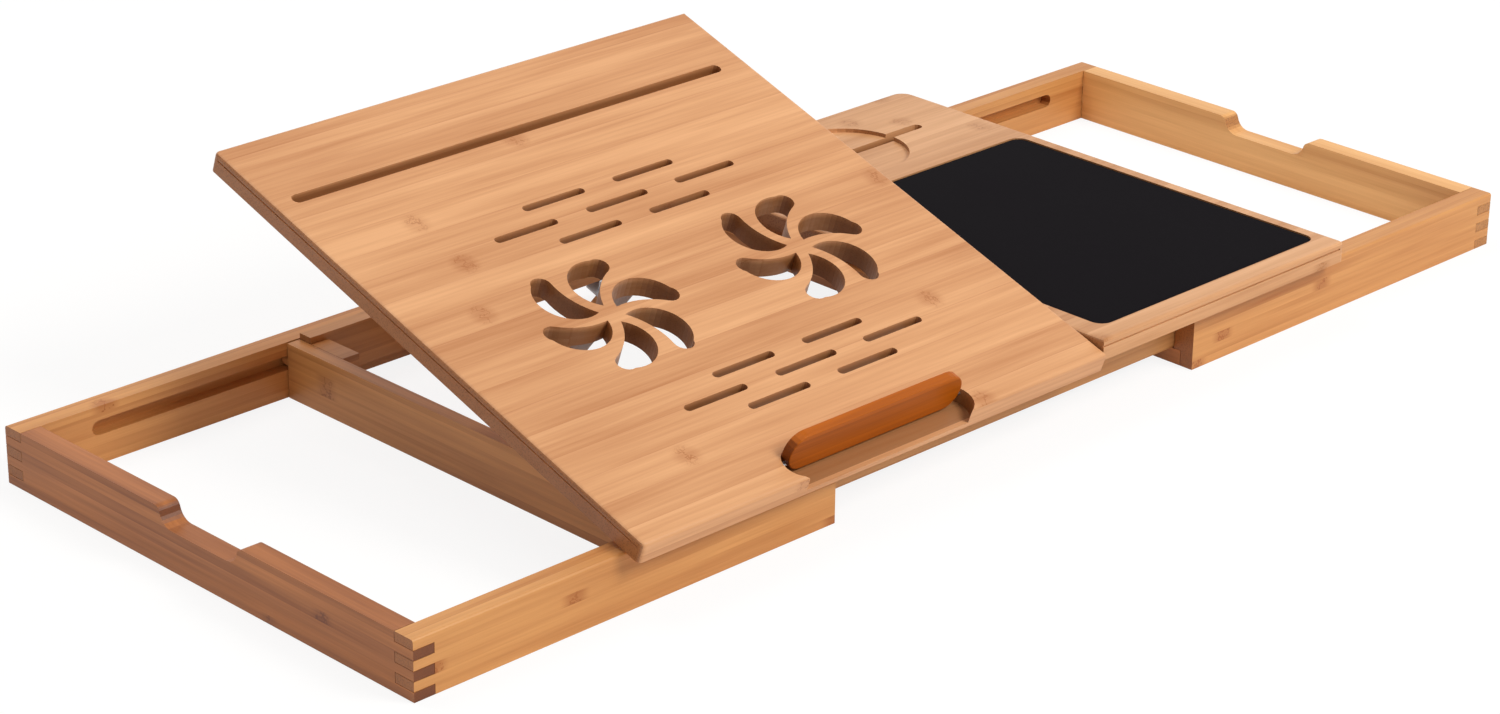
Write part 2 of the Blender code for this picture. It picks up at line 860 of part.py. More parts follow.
def seat_hinges(board, under):
    """Room for the knuckles and the moving leaves, with pilot holes for their screws."""
    for centre in hinge_centres():
        half = hinge_length / 2 + joint_gap
        leaf = bmesh.new()
        add_block(
            leaf,
            (centre - half, pivot_y, under),
            (centre + half, pivot_y + leaf_back + joint_gap, tilt_seat_height + leaf_top() + joint_gap),
        )
        cut(board, leaf)
        knuckle = bmesh.new()
        radius = knuckle_wide / 2 + turn_gap
        longer = half + joint_gap
        start = (centre - longer, pivot_y, tilt_seat_height)
        add_turned(knuckle, ((0, radius), (longer * 2, radius)), start, (1, 0, 0), pin_steps)
        cut(board, knuckle)
        pilots = bmesh.new()
        for offset in (-screw_spread / 2, screw_spread / 2):
            start = (centre + offset, pivot_y + screw_back, tilt_seat_height)
            depth = leaf_top() + screw_long + joint_gap
            wide = screw_shank_wide / 2 + joint_gap
            add_turned(pilots, ((0, wide), (depth, wide)), start, (0, 0, 1), pin_steps)
        cut(board, pilots)


def leaf_top():
    """Distance from the hinge axis to the far face of a leaf."""
    return turn_gap + leaf_thick


def bracket_screws():
    """Middle of each screw of the prop bracket, on the underside of the board."""
    across = prop_wide / 2 + prop_side_gap + bracket_thick + bracket_wing / 2
    y = pivot_y + prop_pivot_along
    return ((prop_centre - across, y), (prop_centre + across, y))


def pilot_bracket(board):
    pilots = bmesh.new()
    for x, y in bracket_screws():
        radius = screw_shank_wide / 2 + joint_gap
        depth = screw_long - joint_gap
        add_turned(
            pilots,
            ((-joint_gap, radius), (depth, radius)),
            (x, y, tilt_seat_height),
            (0, 0, 1),
            pin_steps,
        )
    cut(board, pilots)


def screw(name, place, up):
    """Countersunk screw: flat head flush with the metal, round shank into the wood."""
    head = screw_head_wide / 2
    shank = screw_shank_wide / 2
    profile = (
        (0, head),
        (leaf_thick, shank),
        (leaf_thick + screw_long - shank, shank),
        (leaf_thick + screw_long - joint_gap, shank / 4),
    )
    build = bmesh.new()
    add_turned(build, profile, place, (0, 0, up), pin_steps)
    made = object_from(name, build, "steel")
    shade_round(made)
    return made


def screw_hole(place, up):
    """Countersunk hole that leaves a fine gap around a screw."""
    head = screw_head_wide / 2 + joint_gap
    shank = screw_shank_wide / 2 + joint_gap
    rise = leaf_thick
    build = bmesh.new()
    start = Vector(place) - Vector((0, 0, up * rise))
    profile = (
        (0, head + rise * (head - shank) / leaf_thick),
        (rise + leaf_thick, shank),
        (rise + leaf_thick * 2, shank),
    )
    add_turned(build, profile, start, (0, 0, up), pin_steps)
    return build


def hinge_leaf(name, centre, up, own):
    """One leaf of a butt hinge: flat plate, its share of the knuckles and two countersunk holes."""
    knuckle = hinge_length / knuckle_count
    left = centre - hinge_length / 2
    clear = pivot_y + knuckle_wide / 2 + turn_gap
    back = pivot_y + leaf_back
    outline = [(left + hinge_length, back), (left, back), (left, clear)]
    spans = []
    for index in range(knuckle_count):
        start = left + index * knuckle
        if index % 2 == own:
            spans.append((start + joint_gap / 2, start + knuckle - joint_gap / 2))
    for low, high in spans:
        outline.append((low + joint_gap, clear))
        outline.append((low + joint_gap, pivot_y))
        outline.append((high - joint_gap, pivot_y))
        outline.append((high - joint_gap, clear))
    outline.append((left + hinge_length, clear))
    near = tilt_seat_height + up * turn_gap
    far = tilt_seat_height + up * leaf_top()
    build = bmesh.new()
    add_prism(build, outline, min(near, far), max(near, far))
    leaf = object_from(name, build, "steel")
    for low, high in spans:
        barrel = bmesh.new()
        radius = knuckle_wide / 2
        start = (low, pivot_y, tilt_seat_height)
        add_turned(barrel, ((0, radius), (high - low, radius)), start, (1, 0, 0), pin_steps)
        join(leaf, barrel)
    bore = bmesh.new()
    radius = hinge_pin_wide / 2 + pin_gap
    start = (left - joint_gap, pivot_y, tilt_seat_height)
    length = hinge_length + joint_gap * 2
    add_turned(bore, ((0, radius), (length, radius)), start, (1, 0, 0), pin_steps)
    cut(leaf, bore)
    for offset in (-screw_spread / 2, screw_spread / 2):
        cut(leaf, screw_hole((centre + offset, pivot_y + screw_back, near), up))
    shade_round(leaf)
    return leaf


def hinge_pin(name, centre):
    build = bmesh.new()
    radius = hinge_pin_wide / 2
    start = (centre - hinge_length / 2, pivot_y, tilt_seat_height)
    add_turned(build, ((0, radius), (hinge_length, radius)), start, (1, 0, 0), pin_steps)
    pin = object_from(name, build, "steel")
    shade_round(pin)
    return pin


def hinge_parts():
    """Pieces of both hinges: those on the tray, then those on the board."""
    tray = []
    board = []
    for side_name, centre in zip(("left", "right"), hinge_centres()):
        tray.append(hinge_leaf(side_name + "_hinge_tray_leaf", centre, -1, 0))
        tray.append(hinge_pin(side_name + "_hinge_pin", centre))
        board.append(hinge_leaf(side_name + "_hinge_board_leaf", centre, 1, 1))
        for index, offset in enumerate((-screw_spread / 2, screw_spread / 2)):
            y = pivot_y + screw_back
            below = (centre + offset, y, tilt_seat_height - turn_gap)
            above = (centre + offset, y, tilt_seat_height + turn_gap)
            label = side_name + "_hinge"
            tray.append(screw(f"{label}_tray_screw_{index + 1}", below, -1))
            board.append(screw(f"{label}_board_screw_{index + 1}", above, 1))
    return tray, board


def upright_stadium(build, low, high, front, back, steps):
    """Add a plate with round ends that stands across the depth of the board."""
    outline = stadium(low, high, steps)
    near = [build.verts.new((x, front, z)) for x, z in outline]
    far = [build.verts.new((x, back, z)) for x, z in outline]
    build.faces.new(near)
    build.faces.new(list(reversed(far)))
    count = len(outline)
    for index in range(count):
        after = (index + 1) % count
        build.faces.new((near[after], near[index], far[index], far[after]))


def stop_bar():
    """Plate with round ends that folds up out of its pocket and keeps a laptop from sliding off."""
    axis_along, axis_drop, back, deep = pocket_sizes()
    top = tilt_seat_height + board_thick
    front = board_front + bar_front
    low = (bar_centre - bar_length / 2, top + bar_top - bar_high)
    high = (bar_centre + bar_length / 2, top + bar_top)
    build = bmesh.new()
    upright_stadium(build, low, high, front, front + bar_thick, corner_steps * 2)
    bar = object_from("stop_bar", build, "bamboo_board")
    mark_edges(bar, lambda first, last: same(first.y, last.y))
    soften(bar, bar_edge_round, 2)
    holes = bmesh.new()
    radius = bar_pin_wide / 2 + pin_gap
    for side in (-1, 1):
        inner = bar_pin_far - bar_pin_length - joint_gap
        start = (bar_centre + side * inner, board_front + axis_along, top - axis_drop)
        add_turned(holes, ((0, radius), (bar_length, radius)), start, (side, 0, 0), pin_steps)
    cut(bar, holes)
    return bar


def stop_bar_pin(name, side):
    axis_along, axis_drop, back, deep = pocket_sizes()
    start_x = bar_centre + side * (bar_pin_far - bar_pin_length)
    start = (start_x, board_front + axis_along, tilt_seat_height + board_thick - axis_drop)
    radius = bar_pin_wide / 2
    build = bmesh.new()
    add_turned(build, ((0, radius), (bar_pin_length, radius)), start, (side, 0, 0), pin_steps)
    pin = object_from(name, build, "steel")
    shade_round(pin)
    return pin


def prop_bracket():
    """Steel bracket under the board: a plate with two lugs that hold the pin of the prop."""
    y = pivot_y + prop_pivot_along
    top = tilt_seat_height - joint_gap
    lug_inner = prop_wide / 2 + prop_side_gap
    half = lug_inner + bracket_thick + bracket_wing
    low = (prop_centre - half, y - bracket_long / 2, top - bracket_thick)
    high = (prop_centre + half, y + bracket_long / 2, top)
    bracket = block("prop_bracket", low, high, "steel")
    axis = tilt_seat_height - prop_pivot_drop
    for side in (-1, 1):
        lug = bmesh.new()
        radius = bracket_long / 2
        inset = radius - joint_gap
        outline = arc_points((y, axis), inset, math.pi, math.tau, corner_steps * 2)
        outline += [(y + inset, top - bracket_thick / 2), (y - inset, top - bracket_thick / 2)]
        inner = prop_centre + side * lug_inner
        outer = prop_centre + side * (lug_inner + bracket_thick)
        near = [lug.verts.new((inner, py, pz)) for py, pz in outline]
        far = [lug.verts.new((outer, py, pz)) for py, pz in outline]
        lug.faces.new(near)
        lug.faces.new(list(reversed(far)))
        count = len(outline)
        for index in range(count):
            after = (index + 1) % count
            lug.faces.new((near[after], near[index], far[index], far[after]))
        join(bracket, lug)
    bore = bmesh.new()
    radius = prop_pin_wide / 2 + pin_gap
    start = (prop_centre - half, y, axis)
    add_turned(bore, ((0, radius), (half * 2, radius)), start, (1, 0, 0), pin_steps)
    cut(bracket, bore)
    for x, screw_y in bracket_screws():
        cut(bracket, screw_hole((x, screw_y, top - bracket_thick), 1))
    shade_round(bracket)
    return bracket


def prop_pin():
    half = prop_wide / 2 + prop_side_gap + bracket_thick + joint_gap
    start = (prop_centre - half, pivot_y + prop_pivot_along, tilt_seat_height - prop_pivot_drop)
    radius = prop_pin_wide / 2
    build = bmesh.new()
    add_turned(build, ((0, radius), (half * 2, radius)), start, (1, 0, 0), pin_steps)
    pin = object_from("prop_pin", build, "steel")
    shade_round(pin)
    return pin


def tilt_prop():
    """Wooden leg that holds the board up: round at both ends, bored for its pin at the head."""
    y = pivot_y + prop_pivot_along
    axis = tilt_seat_height - prop_pivot_drop
    radius = prop_thick / 2
    low = (y - radius, axis - radius)
    high = (y + prop_length + radius, axis + radius)
    outline = stadium(low, high, corner_steps * 2)
    build = bmesh.new()
    left = [build.verts.new((prop_centre - prop_wide / 2, py, pz)) for py, pz in outline]
    right = [build.verts.new((prop_centre + prop_wide / 2, py, pz)) for py, pz in outline]
    build.faces.new(left)
    build.faces.new(list(reversed(right)))
    count = len(outline)
    for index in range(count):
        after = (index + 1) % count
        build.faces.new((left[after], left[index], right[index], right[after]))
    leg = object_from("tilt_prop", build, "bamboo_side")
    bore = bmesh.new()
    wide = prop_pin_wide / 2 + pin_gap
    start = (prop_centre - prop_wide, y, axis)
    add_turned(bore, ((0, wide), (prop_wide * 2, wide)), start, (1, 0, 0), pin_steps)
    cut(leg, bore)
    return leg


def pivot(name, point, parent, parent_point, turn):
    """Empty on a joint axis; pieces and further axes hang from it."""
    empty = bpy.data.objects.new(name, None)
    bpy.context.scene.collection.objects.link(empty)
    empty.parent = parent
    empty.location = Vector(point) - Vector(parent_point)
    empty.rotation_euler = (turn, 0, 0)
    return empty


def hang(pieces, empty, point):
    """Hang pieces on an axis with their origins on it."""
    for piece in pieces:
        piece.data.transform(Matrix.Translation(-Vector(point)))
        piece.parent = empty


def build_all():
    clear_scene()
    make_materials()
    ground = Vector((origin_x, origin_y, 0))
    tray = pivot("tray_axis", (0, 0, 0), None, ground, 0)
    hinge_tray, hinge_board = hinge_parts()
    left_inner = left_member + member_thick
    right_inner = right_member - member_thick
    fixed = [
        cross_member("left_cross_member", left_member, 1),
        cross_member("right_cross_member", right_member, -1),
        inner_rail("front_inner_rail", -1),
        inner_rail("back_inner_rail", 1),
        divider(),
        rack_beam(),
        fixed_panel(),
        mouse_pad(),
    ]
    for side_name, side in (("front", -1), ("back", 1)):
        fixed.append(guide_pin(f"left_{side_name}_guide_pin", left_member + member_thick / 2, side))
        fixed.append(guide_pin(f"right_{side_name}_guide_pin", right_member - member_thick / 2, side))
        fixed.append(corner_block(f"left_{side_name}_corner_block", left_inner, 1, side))
        fixed.append(corner_block(f"right_{side_name}_corner_block", right_inner, -1, side))
    hang(fixed + hinge_tray, tray, (0, 0, 0))
    for side_name, outer_x, inward in (("left", left_outer, 1), ("right", right_outer, -1)):
        point = (outer_x, 0, groove_height)
        empty = pivot(side_name + "_slide_axis", point, tray, (0, 0, 0), 0)
        hang(sliding_frame(side_name, outer_x, inward), empty, point)
    tilt_point = (board_middle, pivot_y, tilt_seat_height)
    tilt = pivot("tilt_axis", tilt_point, tray, (0, 0, 0), tilt_angle)
    carried = [
        tilting_board(),
        prop_bracket(),
        prop_pin(),
        stop_bar_pin("left_stop_bar_pin", -1),
        stop_bar_pin("right_stop_bar_pin", 1),
    ]
    for index, (x, y) in enumerate(bracket_screws()):
        place = (x, y, tilt_seat_height - joint_gap - bracket_thick)
        carried.append(screw(f"bracket_screw_{index + 1}", place, 1))
    hang(carried + hinge_board, tilt, tilt_point)
    axis_along, axis_drop, back, deep = pocket_sizes()
    bar_point = (
        bar_centre,
        board_front + axis_along,
        tilt_seat_height + board_thick - axis_drop,
    )
    bar_axis = pivot("stop_bar_axis", bar_point, tilt, tilt_point, 0)
    hang([stop_bar()], bar_axis, bar_point)
    prop_point = (
        prop_centre,
        pivot_y + prop_pivot_along,
        tilt_seat_height - prop_pivot_drop,
    )
    prop_axis = pivot("prop_axis", prop_point, tilt, tilt_point, -(prop_rest + tilt_angle))
    hang([tilt_prop()], prop_axis, prop_point)


build_all()
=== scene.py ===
"""Dressed scene of an expandable bamboo laptop stand, with its studio and camera."""
import math

import bpy
from mathutils import Matrix, Vector


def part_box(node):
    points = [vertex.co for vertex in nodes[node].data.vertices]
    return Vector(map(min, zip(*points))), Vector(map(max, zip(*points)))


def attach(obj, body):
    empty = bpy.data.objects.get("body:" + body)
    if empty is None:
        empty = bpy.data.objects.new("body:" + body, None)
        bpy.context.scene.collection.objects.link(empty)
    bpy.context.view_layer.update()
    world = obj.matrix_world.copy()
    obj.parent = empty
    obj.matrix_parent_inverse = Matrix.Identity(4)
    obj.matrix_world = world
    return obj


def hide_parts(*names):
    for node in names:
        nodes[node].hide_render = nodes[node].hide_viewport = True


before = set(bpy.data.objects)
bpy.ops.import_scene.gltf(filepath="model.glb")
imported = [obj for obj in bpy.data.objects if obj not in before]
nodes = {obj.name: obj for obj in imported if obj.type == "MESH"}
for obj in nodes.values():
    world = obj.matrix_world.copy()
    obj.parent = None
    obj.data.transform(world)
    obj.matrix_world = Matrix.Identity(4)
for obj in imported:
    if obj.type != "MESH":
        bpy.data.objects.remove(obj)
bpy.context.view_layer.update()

scene = bpy.context.scene

# Camera of the photograph: a long lens from the front left corner, a little above the stand.
# It stands about 2.3 m away, so the lines along the stand stay nearly parallel.
camera_place = (-1.526355, -1.489991, 0.926440)
camera_right = (0.713302, -0.700754, 0.012015)
camera_up = (0.271909, 0.292497, 0.916794)
camera_back = (-0.645961, -0.650684, 0.399180)
camera_lens = 92.678
camera_data = bpy.data.cameras.new("photo_camera")
camera_data.lens = camera_lens
camera_data.sensor_width = 36.0
camera_data.clip_start = 0.05
camera_data.clip_end = 50.0
camera = bpy.data.objects.new("photo_camera", camera_data)
scene.collection.objects.link(camera)
turn = Matrix((camera_right, camera_up, camera_back)).transposed().to_4x4()
camera.matrix_world = Matrix.Translation(camera_place) @ turn
scene.camera = camera


# Studio: a plain white floor without an edge, one broad soft lamp high at the front, and a fill
# above the back. The floor shows white to the camera and to gloss, and still takes the shadow.
def linear(code):
    """Turn an sRGB hex colour into linear values."""
    values = []
    for start in (0, 2, 4):
        level = int(code[start:start + 2], 16) / 255
        values.append(level / 12.92 if level <= 0.04045 else ((level + 0.055) / 1.055) ** 2.4)
    return (*values, 1.0)


def add(tree, kind, links=(), **settings):
    """Add a shader node, set its fields and sockets, and link other sockets into it."""
    node = tree.nodes.new(kind)
    for name, value in settings.items():
        if name.startswith("in_"):
            key = name[3:]
            node.inputs[int(key) if key.isdigit() else key.replace("_", " ")].default_value = value
        else:
            setattr(node, name, value)
    for socket, source in links:
        tree.links.new(source, node.inputs[socket])
    return node


def new_material(name):
    """Make a material with an empty node tree."""
    made = bpy.data.materials.new(name)
    made.use_nodes = True
    made.node_tree.nodes.clear()
    return made, made.node_tree


def deselect():
    """Deselect all, because the CAD nodes come in selected."""
    bpy.ops.object.select_all(action="DESELECT")


def straight_rays(tree):
    """Give 1 for rays from the camera, from gloss and through glass, and 0 for the rest."""
    path = add(tree, "ShaderNodeLightPath").outputs
    seen = add(tree, "ShaderNodeMath", [(0, path["Is Camera Ray"]), (1, path["Is Glossy Ray"])],
               operation="MAXIMUM")
    seen = add(tree, "ShaderNodeMath", [(0, seen.outputs[0]), (1, path["Is Transmission Ray"])],
               operation="MAXIMUM")
    return seen.outputs[0]


floor_size = 14.0
floor_drop = 0.0004
deselect()
bpy.ops.mesh.primitive_plane_add(size=floor_size, location=(0, 0, -floor_drop))
floor = bpy.context.object
floor.name = "studio_floor"
bpy.ops.object.transform_apply(location=True, rotation=False, scale=False)
# Matt white paint: takes a faint soft shadow. What the camera sees of it is mostly plain white.
white_share = 0.85
paint, tree = new_material("matt_white_paint")
shade = add(tree, "ShaderNodeBsdfDiffuse", in_Color=linear("FFFFFF"), in_Roughness=0.6)
share = add(tree, "ShaderNodeMath", [(0, straight_rays(tree))], operation="MULTIPLY",
            in_1=white_share)
plain = add(tree, "ShaderNodeEmission", in_Color=linear("FFFFFF"), in_Strength=1.02)
both = add(tree, "ShaderNodeMixShader",
           [(0, share.outputs[0]), (1, shade.outputs[0]), (2, plain.outputs[0])])
add(tree, "ShaderNodeOutputMaterial", [("Surface", both.outputs[0])])
floor.data.materials.append(paint)

# The world lights the stand softly from all round, and shows as white behind it.
world = bpy.data.worlds.new("studio_world")
scene.world = world
world.use_nodes = True
tree = world.node_tree
tree.nodes.clear()
lit = add(tree, "ShaderNodeBackground", in_Color=linear("FFFDFA"), in_Strength=0.40)
white = add(tree, "ShaderNodeBackground", in_Color=linear("FFFFFF"), in_Strength=1.0)
both = add(tree, "ShaderNodeMixShader",
           [(0, straight_rays(tree)), (1, lit.outputs[0]), (2, white.outputs[0])])
add(tree, "ShaderNodeOutputWorld", [("Surface", both.outputs[0])])


def soft_lamp(name, place, aim, size, power, colour):
    """Add a round area lamp that faces a point."""
    data = bpy.data.lights.new(name, "AREA")
    data.shape = "DISK"
    data.size = size
    data.energy = power
    data.color = linear(colour)[:3]
    lamp = bpy.data.objects.new(name, data)
    scene.collection.objects.link(lamp)
    lamp.location = place
    lamp.rotation_euler = (Vector(place) - Vector(aim)).to_track_quat("Z", "Y").to_euler()


lamp_aim = (0.0, 0.0, 0.05)
soft_lamp("key_lamp", (0.7, -1.9, 1.9), lamp_aim, 1.2, 45.0, "FFFBF4")
soft_lamp("fill_lamp", (-0.4, 0.9, 2.3), lamp_aim, 1.4, 19.0, "FFF9F2")


# Bamboo: laminated strips, sanded and varnished to a satin honey colour. Long pale fibres run
# along each strip, a brown knuckle shows now and then, and cut ends show darker, with dots.
# The strips are 20.5 mm wide and 6.4 mm deep, and the stalk has a knuckle every 310 mm.
strip_pitch = 0.0205
layer_pitch = 0.0064
knuckle_pitch = 0.31
knuckle_half = 0.010
knuckle_jag = 0.034
# Shares: a knuckle's line of its pitch, strips without knuckles, and a glue line of its strip.
line_share = 0.006
bare_share = 0.45
seam_share = 0.022
# Each strip starts elsewhere along the stalk, by up to 7 m for the grain and 3 m for knuckles.
grain_slip = 7.0
knuckle_slip = 3.0
# The streaks are 250 mm long and 11 mm wide, and the drawn fibres 80 mm long and 2 mm wide.
streak_stretch = (4.0, 90.0, 90.0)
fibre_stretch = (12.0, 480.0, 480.0)
# Features per metre: clouds of varnish 150 mm wide, jags of 5 mm, and fibre ends 1.1 mm apart.
cloud_scale = 6.5
jag_scale = 210.0
dot_scale = 900.0
# The painted shade in routed cuts starts half a millimetre down and is full 4 mm down.
recess_shade_start = 0.0005
recess_shade_full = 0.004


def bamboo(name, pale, dark, along, turned=0.0, about=(0, 0, 0), seed=0.0, strips=strip_pitch,
           mark=0.3, sheen=0.4, shaded_recess=None):
    """Bamboo whose fibres run along X or Y; a tilted board turns its pattern about its own axis."""
    made, tree = new_material(name)
    place = add(tree, "ShaderNodeTexCoord")
    centre = add(tree, "ShaderNodeVectorMath", [(0, place.outputs["Object"])], operation="SUBTRACT")
    centre.inputs[1].default_value = about
    level = add(tree, "ShaderNodeMapping", [("Vector", centre.outputs[0])], vector_type="POINT")
    level.inputs["Rotation"].default_value = (-turned, 0, 0 if along == "X" else -math.pi / 2)
    axes = add(tree, "ShaderNodeSeparateXYZ", [(0, level.outputs[0])])
    run, cross, up = axes.outputs[0], axes.outputs[1], axes.outputs[2]
    # Each strip and layer has its own number, and so its own tone and its own knuckles.
    strip = add(tree, "ShaderNodeMath", [(0, cross)], operation="MULTIPLY_ADD",
                in_1=1 / strips, in_2=100.37 + seed)
    strip_index = add(tree, "ShaderNodeMath", [(0, strip.outputs[0])], operation="FLOOR")
    strip_part = add(tree, "ShaderNodeMath", [(0, strip.outputs[0])], operation="FRACT")
    layer = add(tree, "ShaderNodeMath", [(0, up)], operation="MULTIPLY_ADD",
                in_1=1 / layer_pitch, in_2=50.21)
    layer_index = add(tree, "ShaderNodeMath", [(0, layer.outputs[0])], operation="FLOOR")
    cell = add(tree, "ShaderNodeCombineXYZ",
               [(0, strip_index.outputs[0]), (1, layer_index.outputs[0])], in_2=seed)
    chance = add(tree, "ShaderNodeTexWhiteNoise", [("Vector", cell.outputs[0])],
                 noise_dimensions="3D")
    luck = add(tree, "ShaderNodeSeparateColor", [(0, chance.outputs["Color"])])
    # Long soft streaks, then fibres, drawn coarser than real so that they show.
    shift = add(tree, "ShaderNodeMath", [(0, luck.outputs[0]), (2, run)],
                operation="MULTIPLY_ADD", in_1=grain_slip)
    flow = add(tree, "ShaderNodeCombineXYZ", [(0, shift.outputs[0]), (1, cross), (2, up)])
    wide = add(tree, "ShaderNodeVectorMath", [(0, flow.outputs[0])], operation="MULTIPLY")
    wide.inputs[1].default_value = streak_stretch
    streak = add(tree, "ShaderNodeTexNoise", [("Vector", wide.outputs[0])],
                 in_Scale=1.0, in_Detail=3.0, in_Roughness=0.55)
    narrow = add(tree, "ShaderNodeVectorMath", [(0, flow.outputs[0])], operation="MULTIPLY")
    narrow.inputs[1].default_value = fibre_stretch
    fibre = add(tree, "ShaderNodeTexNoise", [("Vector", narrow.outputs[0])],
                in_Scale=1.0, in_Detail=2.0, in_Roughness=0.6)
    # Clouds: the warmer and paler areas of the varnish.
    cloud = add(tree, "ShaderNodeTexNoise", [("Vector", level.outputs[0])],
                in_Scale=cloud_scale, in_Detail=1.0)
    # Knuckles: a zigzag of thin brown lines in one strip, in an oval darker zone about 20 mm long.
    bent = add(tree, "ShaderNodeTexNoise", [("Vector", level.outputs[0])],
               in_Scale=jag_scale, in_Detail=2.0, in_Roughness=0.7)
    bend = add(tree, "ShaderNodeMath", [(0, bent.outputs[0]), (2, run)], operation="MULTIPLY_ADD",
               in_1=knuckle_jag)
    slip = add(tree, "ShaderNodeMath", [(0, luck.outputs[1])], operation="MULTIPLY",
               in_1=knuckle_slip)
    jag = add(tree, "ShaderNodeMath", [(0, bend.outputs[0]), (2, slip.outputs[0])],
              operation="MULTIPLY_ADD", in_1=1 / knuckle_pitch)
    jag = add(tree, "ShaderNodeMath", [(0, jag.outputs[0])], operation="PINGPONG", in_1=0.5)
    line = add(tree, "ShaderNodeMapRange", [("Value", jag.outputs[0])],
               in_1=0.0, in_2=line_share, in_3=1.0, in_4=0.0)
    # The jagged line lies around half of its reach, and the oval is centred on it.
    spot = add(tree, "ShaderNodeMath", [(0, run), (2, slip.outputs[0])],
               operation="MULTIPLY_ADD", in_1=1 / knuckle_pitch)
    spot = add(tree, "ShaderNodeMath", [(0, spot.outputs[0])], operation="ADD",
               in_1=knuckle_jag / 2 / knuckle_pitch)
    spot = add(tree, "ShaderNodeMath", [(0, spot.outputs[0])], operation="PINGPONG", in_1=0.5)
    spot = add(tree, "ShaderNodeMath", [(0, spot.outputs[0])], operation="DIVIDE",
               in_1=knuckle_half / knuckle_pitch)
    aside = add(tree, "ShaderNodeMath", [(0, strip_part.outputs[0])], operation="MULTIPLY_ADD",
                in_1=2.2, in_2=-1.1)
    oval = add(tree, "ShaderNodeCombineXYZ", [(0, spot.outputs[0]), (1, aside.outputs[0])])
    oval = add(tree, "ShaderNodeVectorMath", [(0, oval.outputs[0])], operation="LENGTH")
    zone = add(tree, "ShaderNodeMapRange", [("Value", oval.outputs["Value"])],
               in_1=0.3, in_2=1.15, in_3=1.0, in_4=0.0, interpolation_type="SMOOTHSTEP")
    rare = add(tree, "ShaderNodeMath", [(0, luck.outputs[2])], operation="GREATER_THAN",
               in_1=bare_share)
    # Glue lines between strips: about half a millimetre, barely darker.
    seam = add(tree, "ShaderNodeMath", [(0, strip_part.outputs[0])], operation="PINGPONG", in_1=0.5)
    seam = add(tree, "ShaderNodeMapRange", [("Value", seam.outputs[0])],
               in_1=0.0, in_2=seam_share, in_3=1.0, in_4=0.0)
    # Every effect darkens the wood by its own weight; the sum picks the tone between pale and dark.
    knuckle = add(tree, "ShaderNodeMath", [(0, line.outputs[0]), (1, zone.outputs[0])],
                  operation="MULTIPLY")
    knuckle = add(tree, "ShaderNodeMath", [(0, knuckle.outputs[0]), (2, zone.outputs[0])],
                  operation="MULTIPLY_ADD", in_1=1.6)
    knuckle = add(tree, "ShaderNodeMath", [(0, knuckle.outputs[0]), (1, rare.outputs[0])],
                  operation="MULTIPLY")
    total = add(tree, "ShaderNodeMath", [(0, luck.outputs[0])], operation="MULTIPLY_ADD",
                in_1=0.3, in_2=-0.9)
    for value, weight in ((streak.outputs[0], 1.2), (fibre.outputs[0], 0.6),
                          (cloud.outputs[0], 0.5), (seam.outputs[0], 0.2),
                          (knuckle.outputs[0], mark)):
        total = add(tree, "ShaderNodeMath", [(0, value), (2, total.outputs[0])],
                    operation="MULTIPLY_ADD", in_1=weight)
    colour = add(tree, "ShaderNodeMix", [(0, total.outputs[0])],
                 data_type="RGBA", clamp_factor=True)
    colour.inputs[6].default_value = linear(pale)
    colour.inputs[7].default_value = linear(dark)
    # Cut ends drink more varnish: darker, with the ends of the fibres as dots.
    facing = add(tree, "ShaderNodeMapping", [("Vector", place.outputs["Normal"])],
                 vector_type="NORMAL")
    facing.inputs["Rotation"].default_value = (-turned, 0, 0 if along == "X" else -math.pi / 2)
    parts = add(tree, "ShaderNodeSeparateXYZ", [(0, facing.outputs[0])])
    end = add(tree, "ShaderNodeMath", [(0, parts.outputs[0])], operation="ABSOLUTE")
    end = add(tree, "ShaderNodeMapRange", [("Value", end.outputs[0])],
              in_1=0.55, in_2=0.85, in_3=0.0, in_4=0.9)
    dots = add(tree, "ShaderNodeTexVoronoi", [("Vector", place.outputs["Object"])],
               in_Scale=dot_scale)
    dots = add(tree, "ShaderNodeMapRange", [("Value", dots.outputs["Distance"])],
               in_1=0.15, in_2=0.5, in_3=0.75, in_4=0.3)
    drunk = add(tree, "ShaderNodeMix", [(0, dots.outputs[0])], data_type="RGBA")
    drunk.inputs[6].default_value = linear(dark)
    drunk.inputs[7].default_value = linear("5A3014")
    whole = add(tree, "ShaderNodeMix",
                [(0, end.outputs[0]), (6, colour.outputs[2]), (7, drunk.outputs[2])],
                data_type="RGBA")
    if shaded_recess:
        # Routed walls and floors inside the board get painted shade: they turn browner the deeper
        # they lie.
        low, high, top = shaded_recess
        painted_recess_shade = add(tree, "ShaderNodeMapRange", [("Value", up)],
                     in_1=top - recess_shade_start, in_2=top - recess_shade_full, in_3=0.0, in_4=0.62)
